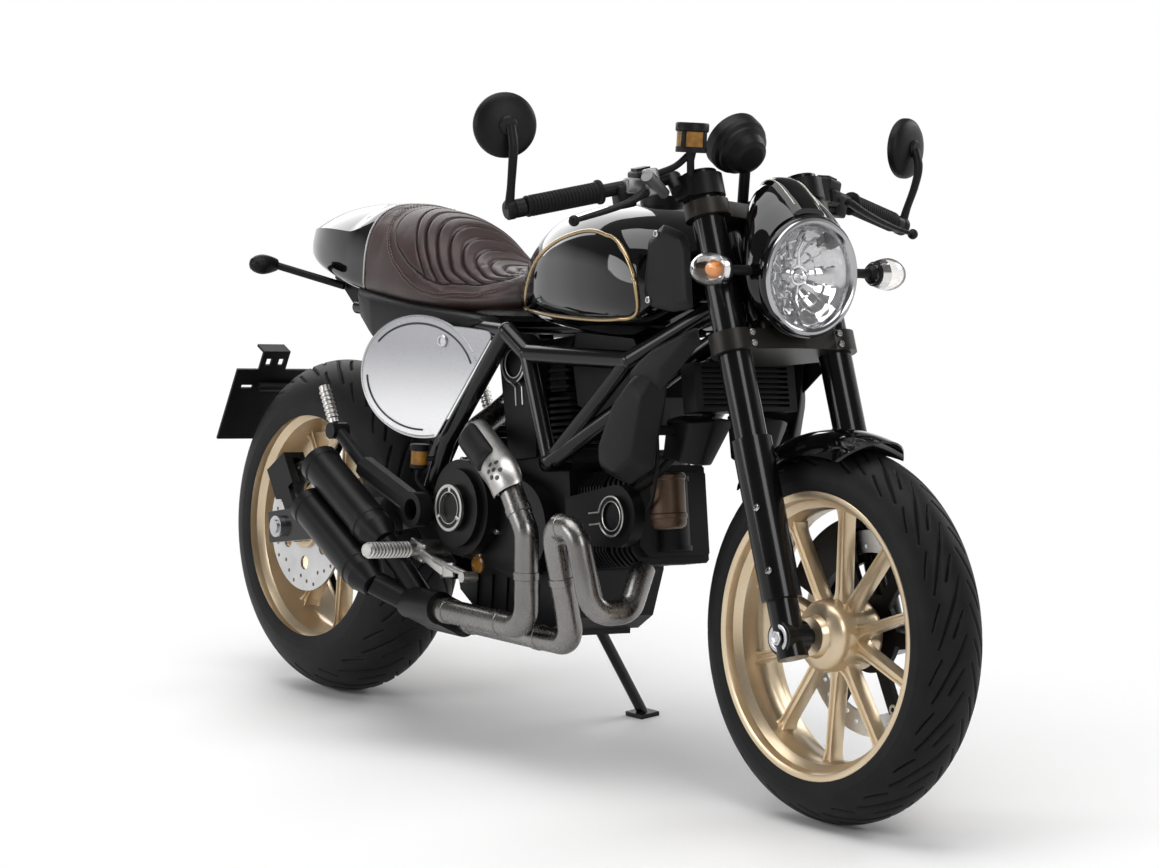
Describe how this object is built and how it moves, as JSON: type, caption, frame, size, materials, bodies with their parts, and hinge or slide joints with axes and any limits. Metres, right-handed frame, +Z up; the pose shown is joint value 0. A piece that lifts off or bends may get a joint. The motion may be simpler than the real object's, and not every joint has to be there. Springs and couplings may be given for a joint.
{
  "type": "motorcycle",
  "caption": "Cafe racer motorcycle with clip-on bars, bar-end mirrors, ribbed brown seat, trellis frame, air-cooled V-twin and gold wheels, leaning on its side stand.",
  "frame": {"origin": "centre of the parked bike's bounding box, on the ground", "axes": "+X towards the front wheel, +Y to the rider's left, +Z up"},
  "size_m": [2.0771, 0.9387, 1.1763],
  "materials": {
    "frame_black": "satin",
    "steel": "brushed",
    "shock_spring": "gloss",
    "chain_steel": "satin",
    "gloss_black": "gloss",
    "seat_leather": "soft",
    "matte_black": "matte",
    "tail_red": "gloss",
    "board_silver": "satin",
    "cooler": "satin",
    "engine_black": "satin",
    "cover_black": "satin",
    "pipe_steel": "brushed",
    "silencer_black": "matte",
    "bracket_black": "matte",
    "bare_aluminium": "satin",
    "fork_black": "gloss",
    "rubber": "matte",
    "fluid_amber": "clear",
    "lamp_glass": "clear",
    "lamp_clear": "clear",
    "tyre": "matte",
    "wheel_gold": "satin",
    "disc_steel": "brushed",
    "clamp_dark": "satin"
  },
  "bodies": {
    "chassis": {"main_frame": "frame_black", "swingarm": "frame_black", "rear_axle": "steel", "rear_shock": "shock_spring", "chain": "chain_steel", "fuel_tank": "gloss_black", "tank_panels": "gloss_black", "fuel_cap": "matte_black", "seat": "seat_leather", "tail_cowl": "gloss_black", "undertail": "matte_black", "tail_light": "tail_red", "rear_indicators": "matte_black", "number_boards": "board_silver", "side_shrouds": "matte_black", "oil_cooler": "cooler", "airbox": "matte_black", "crankcase": "engine_black", "clutch_cover": "cover_black", "alternator_cover": "cover_black", "front_cylinder": "engine_black", "rear_cylinder": "engine_black", "belt_covers": "matte_black", "exhaust_headers": "pipe_steel", "heat_shield": "bracket_black", "silencers": "silencer_black", "peg_hangers": "bracket_black", "foot_controls": "bare_aluminium", "plate_bracket": "matte_black", "rear_caliper": "bracket_black"},
    "steering": {"fork_tubes": "fork_black", "fork_legs": "fork_black", "triple_clamps": "clamp_dark", "handlebars": "bracket_black", "grips": "rubber", "levers": "bracket_black", "mirrors": "matte_black", "brake_reservoir": "fluid_amber", "gauge": "matte_black", "headlight_shell": "gloss_black", "headlight": "lamp_glass", "front_indicators": "lamp_clear", "front_fender": "gloss_black", "front_caliper": "bracket_black"},
    "front_wheel": {"front_tyre": "tyre", "front_rim": "wheel_gold", "front_disc": "disc_steel"},
    "rear_wheel": {"rear_tyre": "tyre", "rear_rim": "wheel_gold", "rear_disc": "disc_steel", "rear_sprocket": "steel"},
    "side_stand": {"side_stand": "frame_black"}
  },
  "joints": [
    {"name": "steering", "type": "hinge", "parent": "chassis", "child": "steering", "pos_m": [0.49337, -0.03156, 0.84075], "axis": [-0.3714, 0.1292, 0.9194], "range_deg": [-33, 33]},
    {"name": "front_wheel_spin", "type": "hinge", "parent": "steering", "child": "front_wheel", "pos_m": [0.7386, -0.10785, 0.29796], "axis": [0, 0.9903, -0.1392], "continuous": true},
    {"name": "rear_wheel_spin", "type": "hinge", "parent": "chassis", "child": "rear_wheel", "pos_m": [-0.6974, -0.10576, 0.31281], "axis": [0, 0.9903, -0.1392], "continuous": true},
    {"name": "side_stand_fold", "type": "hinge", "parent": "chassis", "child": "side_stand", "pos_m": [-0.1094, 0.00371, 0.2439], "axis": [0.0698, 0.9205, 0.3845], "range_deg": [0, 90]}
  ]
}
